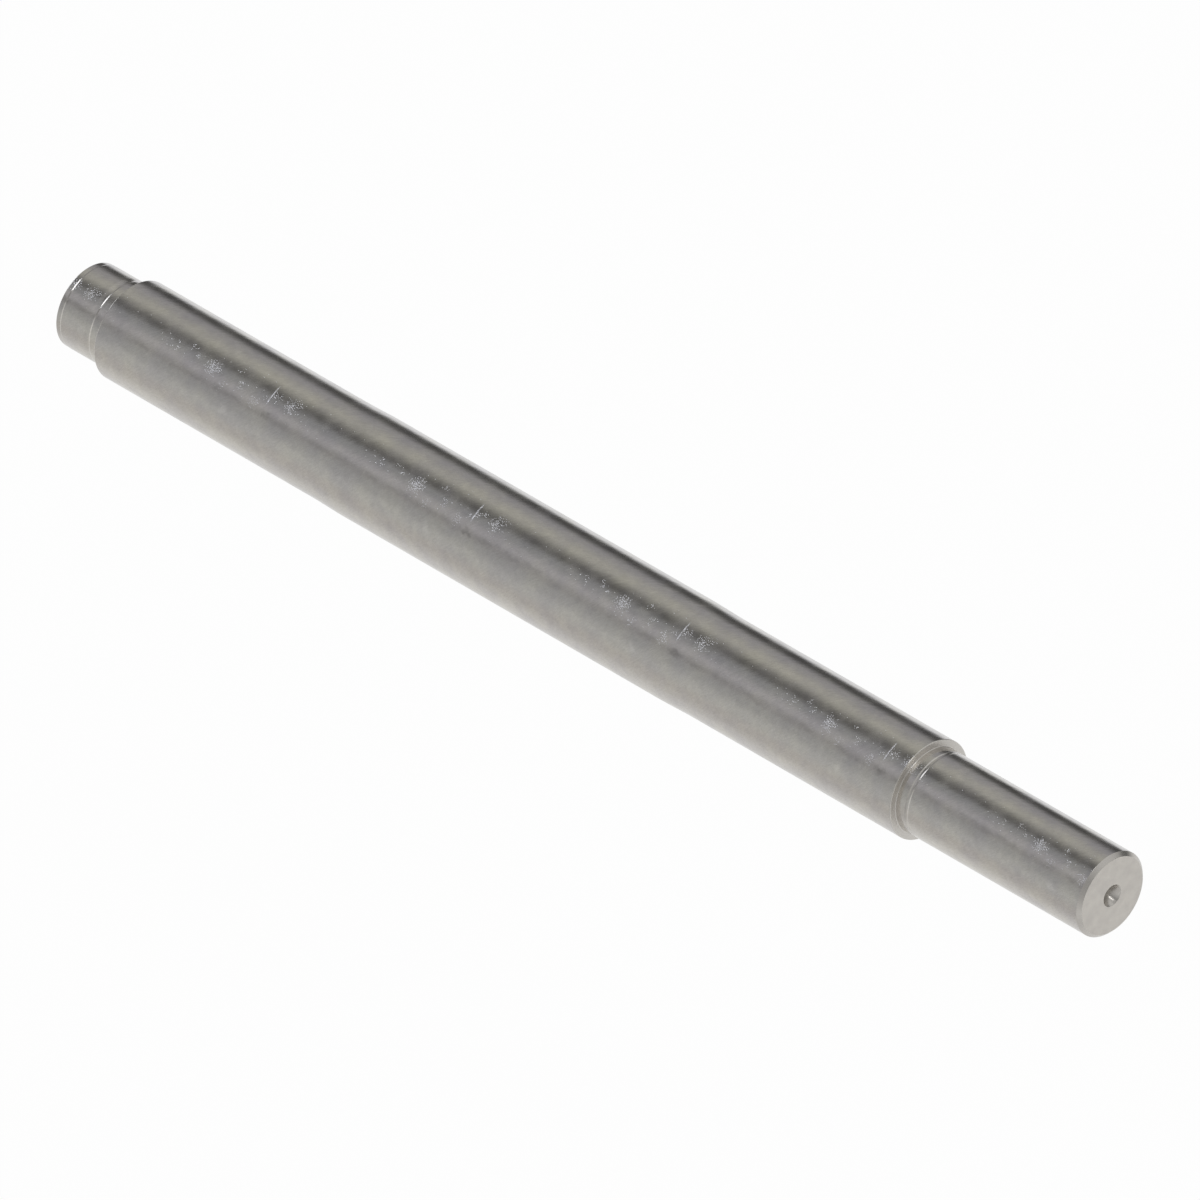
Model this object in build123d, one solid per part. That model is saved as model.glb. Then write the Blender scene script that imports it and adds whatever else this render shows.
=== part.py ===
from build123d import *
from math import radians, tan
import os

# Plain machine shaft, turned and ground from one steel bar between centres.
# X is the turning axis, with the long drive journal at +X, and Z is up.
# The origin is on the axis at mid-length. Sizes are in millimetres and degrees.

# Diameters, from the bearing end to the drive end
bearing_journal_diameter = 30.0
seat_diameter = 35.0
centre_diameter = 35.6
drive_journal_diameter = 30.0

# Lengths, from the bearing end to the drive end
bearing_journal_length = 20.0
bearing_seat_length = 95.0
taper_length = 12.0
centre_length = 144.5
drive_seat_length = 95.0
drive_journal_length = 81.5

# Rounding of a shoulder, at its root on the journal and at its outer edge
shoulder_rounding = 0.3

# Run-out groove in each journal, where the grinding wheel lifts off before the shoulder.
# A plain land lies between it and the shoulder, and it fades out slowly on the bearing journal.
groove_depth = 0.09
groove_near_ramp = 0.5
groove_floor_length = 0.7
bearing_groove_land_length = 4.5
bearing_groove_far_ramp = 1.5
drive_groove_land_length = 3.9
drive_groove_far_ramp = 0.5

# Lead-in at the bearing end, a slightly smaller band that starts a bearing square
lead_in_length = 1.9
lead_in_ramp = 0.5
lead_in_depth = 0.06
lead_in_fall = 0.03
bearing_end_edge_break = 0.25

# Chamfer at the drive end
drive_end_chamfer = 1.3

# Centre hole in each end face, which held the bar on the lathe and grinder
centre_hole_mouth_diameter = 7.8
centre_hole_pilot_diameter = 3.15
centre_hole_pilot_length = 4.2
centre_hole_cone_angle = 60.0
drill_tip_angle = 118.0

# Stations along the axis
shaft_length = (
    bearing_journal_length
    + bearing_seat_length
    + taper_length
    + centre_length
    + taper_length
    + drive_seat_length
    + drive_journal_length
)
bearing_face_x = -shaft_length / 2
bearing_shoulder_x = bearing_face_x + bearing_journal_length
bearing_taper_x = bearing_shoulder_x + bearing_seat_length
centre_start_x = bearing_taper_x + taper_length
centre_end_x = centre_start_x + centre_length
drive_taper_x = centre_end_x + taper_length
drive_shoulder_x = drive_taper_x + drive_seat_length
drive_face_x = drive_shoulder_x + drive_journal_length

# Radii that the outline steps between
bearing_journal_radius = bearing_journal_diameter / 2
seat_radius = seat_diameter / 2
centre_radius = centre_diameter / 2
drive_journal_radius = drive_journal_diameter / 2


def bearing_end():
    """Outline of the bearing end: face, broken edge, and the lead-in up to the journal."""
    lead_in_radius = bearing_journal_radius - lead_in_depth
    ramp_x = bearing_face_x + lead_in_length
    return [
        (bearing_face_x, 0),
        (bearing_face_x, lead_in_radius - bearing_end_edge_break),
        (bearing_face_x + bearing_end_edge_break, lead_in_radius),
        (ramp_x, lead_in_radius - lead_in_fall),
        (ramp_x + lead_in_ramp, bearing_journal_radius),
    ]


def run_out_groove(shoulder_x, away, journal_radius, land_length, far_ramp):
    """Outline of a shallow groove in a journal, from its edge by the shoulder outwards."""
    near_x = shoulder_x + away * land_length
    floor_x = near_x + away * groove_near_ramp
    floor_end_x = floor_x + away * groove_floor_length
    far_x = floor_end_x + away * far_ramp
    return [
        (near_x, journal_radius),
        (floor_x, journal_radius - groove_depth),
        (floor_end_x, journal_radius - groove_depth),
        (far_x, journal_radius),
    ]


def shoulder(shoulder_x, journal_radius):
    """Outline of a shoulder, from its root on the journal to its outer edge."""
    return [
        (shoulder_x, journal_radius),
        (shoulder_x, seat_radius),
    ]


def tapered_centre():
    """Outline of the thicker centre section, which runs out to both seats in long tapers."""
    return [
        (bearing_taper_x, seat_radius),
        (centre_start_x, centre_radius),
        (centre_end_x, centre_radius),
        (drive_taper_x, seat_radius),
    ]


def drive_end():
    """Outline of the drive end: chamfer and face."""
    return [
        (drive_face_x - drive_end_chamfer, drive_journal_radius),
        (drive_face_x, drive_journal_radius - drive_end_chamfer),
        (drive_face_x, 0),
    ]


def turned_body():
    """The whole outside of the shaft, revolved from one half section."""
    bearing_groove = run_out_groove(
        bearing_shoulder_x,
        -1,
        bearing_journal_radius,
        bearing_groove_land_length,
        bearing_groove_far_ramp,
    )
    bearing_shoulder = shoulder(bearing_shoulder_x, bearing_journal_radius)
    drive_shoulder = shoulder(drive_shoulder_x, drive_journal_radius)
    drive_groove = run_out_groove(
        drive_shoulder_x,
        1,
        drive_journal_radius,
        drive_groove_land_length,
        drive_groove_far_ramp,
    )
    outline = (
        bearing_end()
        + bearing_groove[::-1]
        + bearing_shoulder
        + tapered_centre()
        + drive_shoulder[::-1]
        + drive_groove
        + drive_end()
    )
    with BuildPart() as body:
        with BuildSketch(Plane.XZ) as half_section:
            with BuildLine():
                Polyline(*outline, close=True)
            make_face()
            corners = [
                half_section.vertices().sort_by_distance((x, 0, radius))[0]
                for x, radius in bearing_shoulder + drive_shoulder
            ]
            fillet(corners, shoulder_rounding)
        revolve(axis=Axis.X)
    return body.part


def centre_hole(face_x, inwards):
    """The space of a drilled centre hole: a cone at the face, then a pilot with a drill tip."""
    mouth_radius = centre_hole_mouth_diameter / 2
    pilot_radius = centre_hole_pilot_diameter / 2
    cone_depth = (mouth_radius - pilot_radius) / tan(radians(centre_hole_cone_angle / 2))
    pilot_end = cone_depth + centre_hole_pilot_length
    tip_depth = pilot_end + pilot_radius / tan(radians(drill_tip_angle / 2))
    with BuildPart() as space:
        with BuildSketch(Plane.XZ):
            with BuildLine():
                Polyline(
                    (face_x, 0),
                    (face_x, mouth_radius),
                    (face_x + inwards * cone_depth, pilot_radius),
                    (face_x + inwards * pilot_end, pilot_radius),
                    (face_x + inwards * tip_depth, 0),
                    close=True,
                )
            make_face()
        revolve(axis=Axis.X)
    return space.part


shaft = turned_body() - centre_hole(bearing_face_x, 1) - centre_hole(drive_face_x, -1)
shaft.label = "shaft"

os.makedirs("parts", exist_ok=True)
export_step(shaft, "parts/shaft.step")
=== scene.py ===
from math import pi, radians, tan

import bmesh
import bpy
from mathutils import Matrix, Vector


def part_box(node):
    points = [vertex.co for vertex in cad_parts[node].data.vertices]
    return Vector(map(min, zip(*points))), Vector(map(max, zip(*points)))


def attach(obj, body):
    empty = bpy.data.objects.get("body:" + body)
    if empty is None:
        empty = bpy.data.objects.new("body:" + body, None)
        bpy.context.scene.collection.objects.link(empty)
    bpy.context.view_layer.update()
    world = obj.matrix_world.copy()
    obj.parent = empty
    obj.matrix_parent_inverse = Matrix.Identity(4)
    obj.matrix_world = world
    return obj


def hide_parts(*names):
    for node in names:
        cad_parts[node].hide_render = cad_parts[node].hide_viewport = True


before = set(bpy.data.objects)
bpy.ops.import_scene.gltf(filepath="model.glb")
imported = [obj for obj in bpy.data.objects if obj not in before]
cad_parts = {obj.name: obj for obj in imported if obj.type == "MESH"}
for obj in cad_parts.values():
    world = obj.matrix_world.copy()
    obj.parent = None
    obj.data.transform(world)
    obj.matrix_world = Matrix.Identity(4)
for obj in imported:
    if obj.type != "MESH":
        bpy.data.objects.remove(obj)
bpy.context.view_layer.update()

# The shaft, one bar of plain carbon steel. It is turned between centres, then ground on its
# journals and seats, which leaves small radii, run-out grooves by the shoulders and a lead-in
# at the bearing end. It is spun here from its half outline.
mm = 0.001
spin_steps = 256
lowest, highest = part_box("shaft")
bearing_face_x = lowest.x
drive_face_x = highest.x
centre_radius = highest.z
seat_radius = 17.5 * mm
journal_radius = 15.0 * mm
bearing_journal_length = 20.0 * mm
drive_journal_length = 81.5 * mm
seat_length = 95.0 * mm
taper_length = 12.0 * mm
bearing_shoulder_x = bearing_face_x + bearing_journal_length
drive_shoulder_x = drive_face_x - drive_journal_length
centre_x = (bearing_shoulder_x + drive_shoulder_x) / 2
taper_reach = (drive_shoulder_x - bearing_shoulder_x) / 2 - seat_length

shoulder_rounding = 0.3 * mm
groove_depth = 0.09 * mm
groove_near_ramp = 0.5 * mm
groove_floor_length = 0.7 * mm
bearing_groove_land_length = 4.5 * mm
bearing_groove_far_ramp = 1.5 * mm
drive_groove_land_length = 3.9 * mm
drive_groove_far_ramp = 0.5 * mm
lead_in_length = 1.9 * mm
lead_in_ramp = 0.5 * mm
lead_in_depth = 0.06 * mm
lead_in_fall = 0.03 * mm
bearing_end_edge_break = 0.25 * mm
drive_end_chamfer = 1.3 * mm

hole_mouth_radius = 3.9 * mm
hole_pilot_radius = 1.575 * mm
hole_pilot_length = 4.2 * mm
hole_cone_half_angle = radians(30)
drill_tip_half_angle = radians(59)
hole_cone_depth = (hole_mouth_radius - hole_pilot_radius) / tan(hole_cone_half_angle)
hole_pilot_end = hole_cone_depth + hole_pilot_length
hole_tip_depth = hole_pilot_end + hole_pilot_radius / tan(drill_tip_half_angle)

edge_radius = 0.06 * mm
taper_blend = 1.5 * mm


def centre_hole_outline(face_x, inwards):
    """Half outline of a centre hole, from the drill's tip on the axis out to the mouth."""
    return [
        (face_x + inwards * hole_tip_depth, 0, "drilled"),
        (face_x + inwards * hole_pilot_end, hole_pilot_radius, "drilled"),
        (face_x + inwards * hole_cone_depth, hole_pilot_radius, "drilled"),
        (face_x, hole_mouth_radius, "faced"),
    ]


def run_out_groove(shoulder_x, away, land_length, far_ramp):
    """Half outline of the groove in a journal, from its edge by the shoulder outwards."""
    near_x = shoulder_x + away * land_length
    floor_x = near_x + away * groove_near_ramp
    floor_end_x = floor_x + away * groove_floor_length
    far_x = floor_end_x + away * far_ramp
    return [
        (near_x, journal_radius, "ground"),
        (floor_x, journal_radius - groove_depth, "ground"),
        (floor_end_x, journal_radius - groove_depth, "ground"),
        (far_x, journal_radius, "ground"),
    ]


# Each corner is x, radius and the finish of the wall that follows it
lead_in_radius = journal_radius - lead_in_depth
lead_in_end_x = bearing_face_x + lead_in_length
outline = (
    centre_hole_outline(bearing_face_x, 1)
    + [
        (bearing_face_x, lead_in_radius - bearing_end_edge_break, "turned"),
        (bearing_face_x + bearing_end_edge_break, lead_in_radius, "ground"),
        (lead_in_end_x, lead_in_radius - lead_in_fall, "ground"),
        (lead_in_end_x + lead_in_ramp, journal_radius, "ground"),
    ]
    + run_out_groove(
        bearing_shoulder_x, -1, bearing_groove_land_length, bearing_groove_far_ramp
    )[::-1]
    + [
        (bearing_shoulder_x, journal_radius, "shoulder"),
        (bearing_shoulder_x, seat_radius, "ground"),
        (bearing_shoulder_x + seat_length, seat_radius, "ground"),
        (bearing_shoulder_x + seat_length + taper_length, centre_radius, "ground"),
        (drive_shoulder_x - seat_length - taper_length, centre_radius, "ground"),
        (drive_shoulder_x - seat_length, seat_radius, "ground"),
        (drive_shoulder_x, seat_radius, "shoulder"),
        (drive_shoulder_x, journal_radius, "ground"),
    ]
    + run_out_groove(drive_shoulder_x, 1, drive_groove_land_length, drive_groove_far_ramp)
    + [
        (drive_face_x - drive_end_chamfer, journal_radius, "turned"),
        (drive_face_x, journal_radius - drive_end_chamfer, "faced"),
    ]
    + [(x, r, "drilled") for x, r, _ in centre_hole_outline(drive_face_x, -1)[::-1]]
)

# The finishes, in the order in which their steels are made below
finishes = ["ground", "turned", "faced", "shoulder", "drilled"]

body = bmesh.new()
corners = [body.verts.new((x, 0, r)) for x, r, _ in outline]
walls = [body.edges.new(pair) for pair in zip(corners, corners[1:])]
bmesh.ops.spin(
    body,
    geom=corners + walls,
    cent=(0, 0, 0),
    axis=(1, 0, 0),
    angle=2 * pi,
    steps=spin_steps,
    use_merge=True,
)
bmesh.ops.remove_doubles(body, verts=body.verts, dist=0.001 * mm)
bmesh.ops.recalc_face_normals(body, faces=body.faces)


def nearest_corner(vert):
    """Number of the outline's corner that a vertex of the spun body came from."""
    place = Vector((vert.co.x, vert.co.yz.length))
    return min(range(len(outline)), key=lambda n: (place - Vector(outline[n][:2])).length)


for face in body.faces:
    wall = min(nearest_corner(vert) for vert in face.verts)
    face.material_index = finishes.index(outline[wall][2])
    face.smooth = True

# Each ring of the body is rounded by its own amount, a shoulder's root and edge the most
for x, radius, _ in outline:
    if radius == 0:
        continue
    rounding, segments = edge_radius, 2
    if x in (bearing_shoulder_x, drive_shoulder_x):
        rounding, segments = shoulder_rounding, 6
    elif abs(abs(x - centre_x) - taper_reach) < taper_length + 0.1 * mm:
        rounding, segments = taper_blend, 3
    reach = 0.01 * mm
    ring = [
        edge
        for edge in body.edges
        if all(abs(v.co.x - x) < reach and abs(v.co.yz.length - radius) < reach for v in edge.verts)
    ]
    bmesh.ops.bevel(
        body,
        geom=ring,
        offset=rounding,
        segments=segments,
        profile=0.5,
        affect="EDGES",
        material=-1,
    )
bmesh.ops.recalc_face_normals(body, faces=body.faces)

shaft_mesh = bpy.data.meshes.new("shaft_body")
body.to_mesh(shaft_mesh)
body.free()
shaft = bpy.data.objects.new("shaft_body", shaft_mesh)
bpy.context.collection.objects.link(shaft)
even_shading = shaft.modifiers.new("even_shading", "WEIGHTED_NORMAL")
even_shading.keep_sharp = True


class Finish:
    """A bare steel surface, with short ways to wire up what the wheel or the tool left on it."""

    def __init__(self, name, colour, roughness):
        material = bpy.data.materials.new(name)
        material.use_nodes = True
        self.nodes = material.node_tree.nodes
        self.links = material.node_tree.links
        self.material = material
        self.surface = self.nodes["Principled BSDF"]
        self.surface.inputs["Base Color"].default_value = (*colour, 1)
        self.surface.inputs["Metallic"].default_value = 1
        self.surface.inputs["Roughness"].default_value = roughness
        self.place = self.nodes.new("ShaderNodeTexCoord").outputs["Object"]
        shaft_mesh.materials.append(material)

    def wire(self, value, socket):
        """Give a socket the output of another node, or a plain value."""
        if hasattr(value, "is_output"):
            self.links.new(value, socket)
        else:
            socket.default_value = value

    def maths(self, operation, *values):
        """One sum on numbers or on the outputs of other nodes."""
        node = self.nodes.new("ShaderNodeMath")
        node.operation = operation
        for value, socket in zip(values, node.inputs):
            self.wire(value, socket)
        return node.outputs[0]

    def parts(self, place):
        """The three parts of a place or colour, each on its own."""
        node = self.nodes.new("ShaderNodeSeparateXYZ")
        self.links.new(place, node.inputs[0])
        return list(node.outputs)

    def joined(self, first, second):
        """A place on the unrolled surface, from a distance along it and one round it."""
        node = self.nodes.new("ShaderNodeCombineXYZ")
        self.wire(first, node.inputs[0])
        self.wire(second, node.inputs[1])
        return node.outputs[0]

    def cells(self, place, size):
        """Distance from the middle of the nearest cell, in cells, and that cell's own colour."""
        node = self.nodes.new("ShaderNodeTexVoronoi")
        node.voronoi_dimensions = "2D"
        self.links.new(place, node.inputs["Vector"])
        node.inputs["Scale"].default_value = 1 / size
        return node.outputs["Distance"], node.outputs["Color"]

    def scaled(self, colour, factor):
        """A colour made lighter or darker."""
        node = self.nodes.new("ShaderNodeVectorMath")
        node.operation = "SCALE"
        self.links.new(colour, node.inputs[0])
        self.wire(factor, node.inputs["Scale"])
        return node.outputs[0]

    def stretched(self, place, scale):
        """A place scaled along each axis, so that a pattern on it is drawn out where scale is low."""
        node = self.nodes.new("ShaderNodeMapping")
        node.vector_type = "POINT"
        self.links.new(place, node.inputs["Vector"])
        node.inputs["Scale"].default_value = scale
        return node.outputs[0]

    def noise(self, place, size, detail=2.0, rough=0.5):
        """Soft noise from 0 to 1 whose patches are about as wide as the size given."""
        node = self.nodes.new("ShaderNodeTexNoise")
        self.links.new(place, node.inputs["Vector"])
        node.inputs["Scale"].default_value = 1 / size
        node.inputs["Detail"].default_value = detail
        node.inputs["Roughness"].default_value = rough
        return node

    def fitted(self, value, low, high, to_low, to_high, smooth=False):
        """A value between low and high, moved to lie between to_low and to_high."""
        node = self.nodes.new("ShaderNodeMapRange")
        if smooth:
            node.interpolation_type = "SMOOTHSTEP"
        self.wire(value, node.inputs["Value"])
        node.inputs["From Min"].default_value = low
        node.inputs["From Max"].default_value = high
        node.inputs["To Min"].default_value = to_low
        node.inputs["To Max"].default_value = to_high
        return node.outputs[0]

    def mixed(self, factor, colour_a, colour_b):
        """The first colour where factor is 0 and the second where it is 1."""
        node = self.nodes.new("ShaderNodeMix")
        node.data_type = "RGBA"
        self.wire(factor, node.inputs["Factor"])
        for value, name in ((colour_a, "A"), (colour_b, "B")):
            self.wire(value if hasattr(value, "is_output") else (*value, 1), node.inputs[name])
        return node.outputs["Result"]

    def relief(self, height):
        """Bump from a height in millimetres."""
        node = self.nodes.new("ShaderNodeBump")
        node.inputs["Strength"].default_value = 1
        node.inputs["Distance"].default_value = mm
        self.links.new(height, node.inputs["Height"])
        self.links.new(node.outputs[0], self.surface.inputs["Normal"])


# Ground steel: cloudy from the wheel, with hairs of grain, faint stains, a row of painted shade
# and clusters of dents whose bright colour is a painted glint
steel_colour = (0.600, 0.575, 0.540)
ground = Finish("ground_steel", steel_colour, 0.17)


def round_mm(degrees_round):
    """Distance round the seats, in mm, of an angle up from the front."""
    return radians(degrees_round) * seat_radius / mm


along, across, up = ground.parts(ground.place)
along_mm = ground.maths("MULTIPLY", along, 1 / mm)
turn = ground.maths("ARCTAN2", up, ground.maths("MULTIPLY", across, -1))
arc_mm = ground.maths("MULTIPLY", turn, seat_radius / mm)

clouds = ground.noise(ground.place, 9 * mm, 3).outputs[0]
warm_steel = tuple(c * f for c, f in zip(steel_colour, (1.055, 1.055, 1.03)))
cool_steel = tuple(c * f for c, f in zip(steel_colour, (0.945, 0.945, 0.97)))
tone = ground.mixed(ground.fitted(clouds, 0.35, 0.65, 0, 1), cool_steel, warm_steel)

# Hairs of grain, which lie slanted round the shaft
hair_along = ground.maths("MULTIPLY", ground.maths("ADD", along_mm, arc_mm), 0.22)
hair_across = ground.maths("SUBTRACT", along_mm, arc_mm)
hairs = ground.noise(ground.joined(hair_along, hair_across), 0.75, 2, 0.8).outputs[0]
flecks = ground.noise(ground.place, 2.4 * mm, 2, 0.7).outputs[0]
hair_tone = ground.fitted(hairs, 0.25, 0.75, 0.92, 1.08)
fleck_tone = ground.fitted(flecks, 0.25, 0.75, 0.945, 1.055)

# Marks lie in the same places on each stretch of one wheel pass, three times round
pass_length = 92.4
first_angle, last_angle = -5, 115
stray = 2.2
station = ground.maths("WRAP", along_mm, pass_length, 0)
arc = ground.maths("WRAP", arc_mm, round_mm(last_angle), round_mm(first_angle))
wander = ground.noise(ground.place, 2.2 * mm, 2).outputs["Color"]
stray_along, stray_arc, _ = ground.parts(wander)
loose_station = ground.maths("ADD", station, ground.fitted(stray_along, 0, 1, -stray, stray))
loose_arc = ground.maths("ADD", arc, ground.fitted(stray_arc, 0, 1, -stray, stray))


def patch(patch_x, patch_angle, size, middle):
    """A soft-edged patch at a place along and round the pass, as strong as middle says."""
    off_x = ground.maths("SUBTRACT", loose_station, patch_x)
    off_arc = ground.maths("SUBTRACT", loose_arc, round_mm(patch_angle))
    squares = ground.maths("ADD", ground.maths("POWER", off_x, 2), ground.maths("POWER", off_arc, 2))
    return ground.fitted(ground.maths("SQRT", squares), size, 0, 0, middle, smooth=True)


# Faint stains and pale blotches: place along, degrees round, size in mm and change of tone
stains = [
    (13.2, 36, 2.5, -0.05),
    (32.2, 17, 2.6, 0.12),
    (47.9, 36, 1.8, -0.20),
    (49.6, 36, 1.8, -0.20),
    (57.2, 37, 3.2, -0.06),
]
stains_and_painted_shade = 1.0
for stain in stains:
    stains_and_painted_shade = ground.maths("ADD", stains_and_painted_shade, patch(*stain))

# A broken row painted darker, low on each pass: painted shade where the steel mirrors a dark band
shade_band_angle = 37
shade_band_row = ground.maths("ABSOLUTE", ground.maths("SUBTRACT", loose_arc, round_mm(shade_band_angle)))
shade_band_place = ground.stretched(ground.place, (0.4, 1, 1))
painted_band_shade = ground.fitted(ground.noise(shade_band_place, 2.5 * mm, 2).outputs[0], 0.46, 0.62, 0, -0.09)
painted_band_shade = ground.maths("MULTIPLY", painted_band_shade, ground.fitted(shade_band_row, 1.4, 0.4, 0, 1))
stains_and_painted_shade = ground.maths("ADD", stains_and_painted_shade, painted_band_shade)
for part in (hair_tone, fleck_tone, stains_and_painted_shade):
    tone = ground.scaled(tone, part)

# Clusters of tiny dents, painted bright as glints: place along, degrees round, size in mm, how dense
dent_clusters = [
    (5.0, 54, 2.6, 0.35),
    (11.4, 63, 1.6, 0.80),
    (14.6, 57, 1.8, 0.55),
    (22.1, 53, 4.1, 1.40),
    (28.2, 41, 2.6, 0.35),
    (31.8, 66, 1.6, 0.70),
    (35.0, 52, 2.1, 0.80),
    (42.4, 43, 2.7, 1.00),
    (45.5, 54, 1.5, 0.50),
    (49.4, 60, 2.7, 1.00),
    (56.6, 60, 4.6, 0.85),
]
band_angle = 57
dent_cell = 0.34
pit_depth = 0.016
band_middle = ground.maths("ABSOLUTE", ground.maths("SUBTRACT", arc, round_mm(band_angle)))
crowd = ground.fitted(band_middle, 3, 7, 0.008, 0)
for cluster in dent_clusters:
    crowd = ground.maths("MAXIMUM", crowd, patch(*cluster))
dent_spread, dent_chance = ground.cells(ground.joined(station, arc), dent_cell)
dent_lot, dent_shine, _ = ground.parts(dent_chance)
dent = ground.fitted(dent_spread, 0.24, 0.46, 1, 0)
kept = ground.maths("LESS_THAN", dent_lot, ground.maths("MULTIPLY", crowd, 0.55))
dent = ground.maths("MULTIPLY", dent, kept)
dent = ground.maths("MULTIPLY", dent, ground.fitted(dent_shine, 0, 1, 0.45, 1.2))

# One fine nick round part of the shaft on each pass, pressed in by a sharp edge,
# painted bright as a glint
nick_station = 47.4
nick_angle = 60
nick_off = ground.maths("ABSOLUTE", ground.maths("SUBTRACT", station, nick_station))
nick_span = ground.maths("ABSOLUTE", ground.maths("SUBTRACT", arc, round_mm(nick_angle)))
nick_line = ground.fitted(nick_off, 0.24, 0.1, 0, 1)
nick_length = ground.fitted(nick_span, 4, 2.7, 0, 1)
nick_dots = ground.fitted(ground.noise(ground.place, 0.5 * mm, 1).outputs[0], 0.4, 0.6, 0.45, 1)
nick = ground.maths("MULTIPLY", ground.maths("MULTIPLY", nick_line, nick_length), nick_dots)
dents_and_painted_glints = ground.maths("MAXIMUM", dent, nick)
# The dents and the nick are painted a pale bluish white: a painted glint of the lamp
painted_glint_colour = (0.93, 0.94, 1.00)
ground.links.new(ground.mixed(dents_and_painted_glints, tone, painted_glint_colour), ground.surface.inputs["Base Color"])

# The wheel leaves some parts duller than others, and the dents scatter the light
sheen = ground.noise(ground.place, 7 * mm, 2).outputs[0]
dullness = ground.fitted(sheen, 0.32, 0.68, 0.13, 0.22)
dullness = ground.maths("ADD", dullness, ground.maths("MULTIPLY", dents_and_painted_glints, 0.32))
ground.links.new(dullness, ground.surface.inputs["Roughness"])

# Relief in millimetres: grain, mottling, the wheel's slow swell, slanted sweeps, fine rings, and pits
grain = ground.noise(ground.place, 0.6 * mm, 2).outputs[0]
mottle = ground.noise(ground.place, 4.5 * mm, 2).outputs[0]
swell = ground.noise(ground.stretched(ground.place, (0.4, 1, 1)), 12 * mm, 1).outputs[0]
lines = ground.noise(ground.stretched(ground.place, (1, 0.04, 0.04)), 0.35 * mm, 2).outputs[0]
sweep_place = ground.joined(ground.maths("MULTIPLY", hair_along, 0.6), hair_across)
sweeps = ground.noise(sweep_place, 2.2, 2).outputs[0]
height = ground.maths("MULTIPLY", grain, 0.0065)
for part, depth in ((mottle, 0.03), (swell, 0.06), (sweeps, 0.03), (lines, 0.002), (hairs, 0.008)):
    height = ground.maths("ADD", height, ground.maths("MULTIPLY", part, depth))
ground.relief(ground.maths("SUBTRACT", height, ground.maths("MULTIPLY", dents_and_painted_glints, pit_depth)))

# Turned steel on the chamfers and edge breaks, a little rougher, with the tool's rings
turned = Finish("turned_steel", steel_colour, 0.24)
rings = turned.noise(turned.stretched(turned.place, (1, 0.05, 0.05)), 0.2 * mm, 1).outputs[0]
turned.relief(turned.maths("MULTIPLY", rings, 0.002))

# Faced steel on the two ends, dull from the facing cut and painted paler than the other steel,
# painted light that brightens the ends, with a slight cloudiness
faced = Finish("faced_steel", (0.76, 0.73, 0.685), 0.55)
faced_clouds = faced.fitted(faced.noise(faced.place, 3 * mm, 3).outputs[0], 0.3, 0.7, 0, 1)
faced_tone = faced.mixed(faced_clouds, (0.71, 0.68, 0.64), (0.78, 0.75, 0.70))
faced.links.new(faced_tone, faced.surface.inputs["Base Color"])
facing = faced.noise(faced.place, 0.5 * mm, 2).outputs[0]
_, face_across, face_up = faced.parts(faced.place)
out_from_axis = faced.maths(
    "SQRT", faced.maths("ADD", faced.maths("POWER", face_across, 2), faced.maths("POWER", face_up, 2))
)
tool_rings = faced.noise(faced.joined(out_from_axis, 0), 0.25 * mm, 1).outputs[0]
facing_height = faced.maths("MULTIPLY", facing, 0.003)
faced.relief(faced.maths("ADD", facing_height, faced.maths("MULTIPLY", tool_rings, 0.008)))

# Shoulder steel on the two narrow steps, painted paler than the other steel: painted light that
# brightens the steps
shoulder = Finish("shoulder_steel", (0.77, 0.745, 0.705), 0.45)
side_marks = shoulder.noise(shoulder.place, 0.5 * mm, 2).outputs[0]
shoulder.relief(shoulder.maths("MULTIPLY", side_marks, 0.003))

# Drilled steel inside the centre holes
drilled = Finish("drilled_steel", steel_colour, 0.25)
chatter = drilled.noise(drilled.stretched(drilled.place, (1, 0.2, 0.2)), 0.4 * mm, 1).outputs[0]
drilled.relief(drilled.maths("MULTIPLY", chatter, 0.004))

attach(shaft, "root")
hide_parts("shaft")

# The pale floor under the shaft, which hangs well clear of it.
# A matt white sheet, bright to the eye; the metal looks through it to the studio's own white.
floor_radius = 6.0
floor_height = -0.25
floor = bmesh.new()
bmesh.ops.create_circle(floor, cap_ends=True, segments=96, radius=floor_radius)
bmesh.ops.translate(floor, vec=(0, 0, floor_height), verts=floor.verts)
floor_mesh = bpy.data.meshes.new("white_sheet")
floor.to_mesh(floor_mesh)
floor.free()
sheet = bpy.data.objects.new("white_sheet", floor_mesh)
bpy.context.collection.objects.link(sheet)
white = bpy.data.materials.new("white_sheet")
white.use_nodes = True
nodes, links = white.node_tree.nodes, white.node_tree.links
matt = nodes["Principled BSDF"]
matt.inputs["Base Color"].default_value = (0.92, 0.92, 0.92, 1)
matt.inputs["Roughness"].default_value = 1
matt.inputs["Specular IOR Level"].default_value = 0
bright_sheet = nodes.new("ShaderNodeEmission")
clear = nodes.new("ShaderNodeBsdfTransparent")
seen = nodes.new("ShaderNodeLightPath")


def sheet_maths(operation, first, second):
    """One sum on the kinds of ray that meet the sheet."""
    node = nodes.new("ShaderNodeMath")
    node.operation = operation
    links.new(first, node.inputs[0])
    if hasattr(second, "is_output"):
        links.new(second, node.inputs[1])
    else:
        node.inputs[1].default_value = second
    return node.outputs[0]


def sheet_blend(factor, first, second):
    node = nodes.new("ShaderNodeMixShader")
    links.new(factor, node.inputs[0])
    links.new(first, node.inputs[1])
    links.new(second, node.inputs[2])
    return node.outputs[0]


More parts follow.
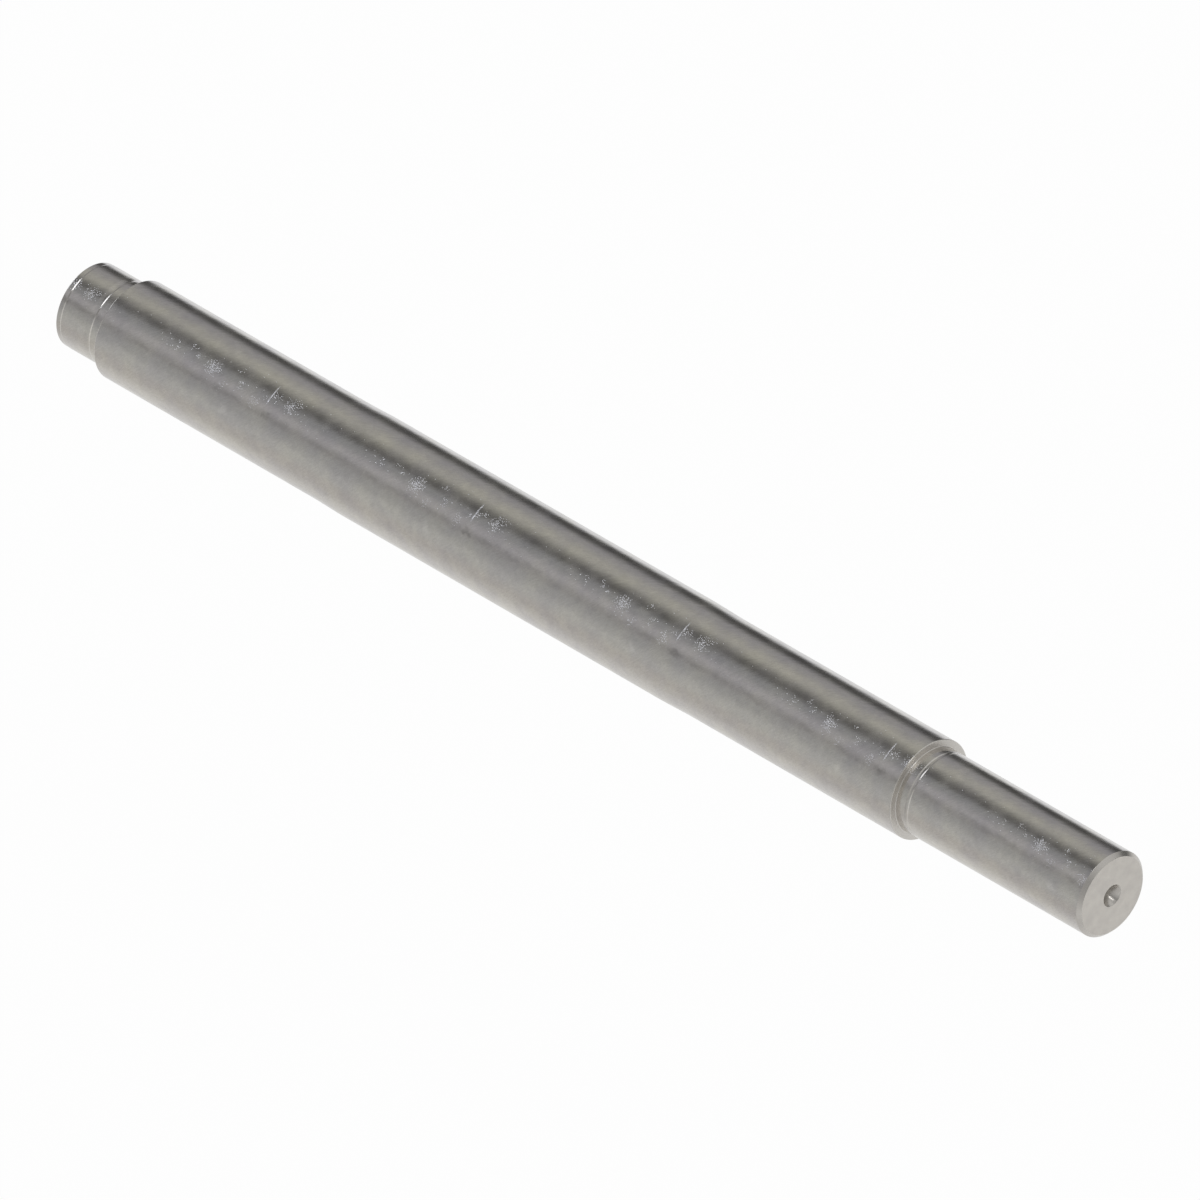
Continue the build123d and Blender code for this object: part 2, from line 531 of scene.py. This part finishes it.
# The eye sees mostly the sheet's own white, and in the rest the shaft's soft shadow
white_share = 0.97
to_the_eye = sheet_maths("MAXIMUM", seen.outputs["Is Camera Ray"], seen.outputs["Is Transmission Ray"])
own_white = sheet_maths("MULTIPLY", to_the_eye, white_share)
lit = sheet_blend(own_white, matt.outputs[0], bright_sheet.outputs[0])
to_the_metal = sheet_maths("MAXIMUM", seen.outputs["Is Glossy Ray"], seen.outputs["Is Shadow Ray"])
passed = sheet_blend(to_the_metal, lit, clear.outputs[0])
links.new(passed, nodes["Material Output"].inputs["Surface"])
floor_mesh.materials.append(white)

# The studio round it: soft walls and a white ground whose brightness runs round the shaft's
# axis, with a dark strip along the back, in six zones from the far left to the far right.
world = bpy.data.worlds.new("studio")
bpy.context.scene.world = world
world.use_nodes = True
nodes, links = world.node_tree.nodes, world.node_tree.links
direction = nodes.new("ShaderNodeTexCoord")
parts = nodes.new("ShaderNodeSeparateXYZ")
links.new(direction.outputs["Generated"], parts.inputs[0])
angle = nodes.new("ShaderNodeMath")
angle.operation = "ARCTAN2"
links.new(parts.outputs["Y"], angle.inputs[0])
links.new(parts.outputs["Z"], angle.inputs[1])
round_axis = nodes.new("ShaderNodeMapRange")
round_axis.inputs["From Min"].default_value = -pi
round_axis.inputs["From Max"].default_value = pi
links.new(angle.outputs[0], round_axis.inputs["Value"])


def wall(stops):
    """Brightness of one zone, as degrees up from the front horizon and colour."""
    ramp = nodes.new("ShaderNodeValToRGB")
    ramp.color_ramp.interpolation = "EASE"
    while len(ramp.color_ramp.elements) < len(stops):
        ramp.color_ramp.elements.new(0.5)
    for element, (degrees_up, colour) in zip(ramp.color_ramp.elements, stops):
        element.position = (degrees_up + 90) / 360
        element.color = (*colour, 1) if isinstance(colour, tuple) else (colour, colour, colour, 1)
    links.new(round_axis.outputs[0], ramp.inputs[0])
    return ramp.outputs[0]


# Straight down is -90 and 270, the front horizon 0, overhead 90 and the back horizon 180
far_left = [
    (-90, 0.92),
    (-48, 0.87),
    (-15, 0.84),
    (0, 0.80),
    (15, 0.60),
    (38, 0.28),
    (110, 0.32),
    (137, 0.29),
    (171, 0.46),
    (192, 0.80),
    (270, 0.92),
]
left = [
    (-90, 0.79),
    (-42, (0.60, 0.59, 0.58)),
    (-17, (0.58, 0.59, 0.59)),
    (13, (0.43, 0.44, 0.45)),
    (26, (0.37, 0.37, 0.38)),
    (44, (0.49, 0.49, 0.52)),
    (64, (0.33, 0.34, 0.36)),
    (81, (0.14, 0.14, 0.14)),
    (112, (0.50, 0.50, 0.47)),
    (141, (0.39, 0.39, 0.41)),
    (164, 0.09),
    (174, 0.09),
    (191, (0.90, 0.91, 0.94)),
    (225, 0.85),
    (270, 0.79),
]
middle = [
    (-90, 0.80),
    (-28, 0.48),
    (0, 0.48),
    (45, 0.57),
    (72, 0.62),
    (110, 0.77),
    (135, 0.75),
    (158, 0.42),
    (172, 0.12),
    (192, 0.84),
    (225, 0.80),
    (270, 0.80),
]
right = [
    (-90, 0.74),
    (-55, 0.62),
    (-20, 0.56),
    (0, 0.44),
    (45, 0.40),
    (80, 0.55),
    (110, 0.72),
    (135, 0.70),
    (154, 0.46),
    (165, 0.12),
    (174, 0.12),
    (190, 0.90),
    (225, 0.80),
    (270, 0.74),
]
bright_right = [
    (-90, 0.80),
    (-60, 0.78),
    (-35, 0.76),
    (-5, 0.78),
    (20, 0.64),
    (35, 0.52),
    (52, 0.25),
    (90, 0.22),
    (120, 0.70),
    (157, 0.58),
    (180, 0.66),
    (200, 0.80),
    (270, 0.80),
]
far_right = [
    (-90, 0.74),
    (-55, 0.66),
    (-20, 0.56),
    (0, 0.44),
    (45, 0.40),
    (80, 0.55),
    (110, 0.72),
    (130, 0.66),
    (148, 0.26),
    (160, 0.26),
    (182, 0.50),
    (205, 0.42),
    (235, 0.62),
    (270, 0.74),
]
zones = [
    (left, -0.76, -0.66),
    (middle, -0.54, -0.32),
    (right, 0.0, 0.3),
    (bright_right, 0.42, 0.55),
    (far_right, 0.62, 0.7),
]
walls = wall(far_left)
for stops, low, high in zones:
    side = nodes.new("ShaderNodeMapRange")
    side.interpolation_type = "SMOOTHSTEP"
    side.inputs["From Min"].default_value = low
    side.inputs["From Max"].default_value = high
    links.new(parts.outputs["X"], side.inputs["Value"])
    join = nodes.new("ShaderNodeMix")
    join.data_type = "RGBA"
    links.new(side.outputs[0], join.inputs["Factor"])
    links.new(walls, join.inputs["A"])
    links.new(wall(stops), join.inputs["B"])
    walls = join.outputs["Result"]
seen = nodes.new("ShaderNodeLightPath")
backdrop = nodes.new("ShaderNodeMix")
backdrop.data_type = "RGBA"
backdrop.inputs["B"].default_value = (1, 1, 1, 1)
links.new(seen.outputs["Is Camera Ray"], backdrop.inputs["Factor"])
links.new(walls, backdrop.inputs["A"])
links.new(backdrop.outputs["Result"], nodes["Background"].inputs["Color"])
nodes["Background"].inputs["Strength"].default_value = 1.0

# Two soft lamps far out: one low on the left, which lights what leans that way, and one
# overhead that reaches into the end face and its hole.
lamp_distance = 6.0


def softbox(name, direction, half_round, half_out, radiance, colour):
    """An oval lamp of the given half angles, round the shaft's axis and away from it."""
    towards = Vector(direction).normalized()
    data = bpy.data.lights.new(name, "AREA")
    data.shape = "ELLIPSE"
    data.size = 2 * lamp_distance * tan(radians(half_round))
    data.size_y = 2 * lamp_distance * tan(radians(half_out))
    oval_area = pi / 4 * data.size * data.size_y
    data.energy = radiance * pi * oval_area
    data.color = colour
    lamp = bpy.data.objects.new(name, data)
    bpy.context.collection.objects.link(lamp)
    lamp.location = towards * lamp_distance
    round_way = Vector((1, 0, 0)).cross(towards).normalized()
    outwards = towards.cross(round_way)
    lamp.rotation_euler = Matrix((round_way, outwards, towards)).transposed().to_euler()


softbox("left_softbox", (-0.85, -0.10, 0.52), 12.5, 9, 2.2, (0.95, 0.98, 1.04))
softbox("top_softbox", (0.375, -0.193, 0.907), 8, 11, 2.9, (1, 1, 1))

# The camera looks along the cube's diagonal with a very long lens, so near and far ends
# measure nearly the same, as in the photograph.
view_width = 0.3814
camera_data = bpy.data.cameras.new("camera")
camera_data.lens = 1700
camera_data.sensor_width = 36
camera_distance = view_width * camera_data.lens / camera_data.sensor_width
camera = bpy.data.objects.new("camera", camera_data)
bpy.context.collection.objects.link(camera)
camera_direction = Vector((1, -1, 1)).normalized()
camera_aim = Vector((1.4 * mm, 0, 0))
camera.location = camera_aim + camera_direction * camera_distance
camera.rotation_euler = camera_direction.to_track_quat("Z", "Y").to_euler()
camera_data.clip_start = 1
camera_data.clip_end = 40
bpy.context.scene.camera = camera

bpy.context.scene.view_settings.view_transform = "Standard"
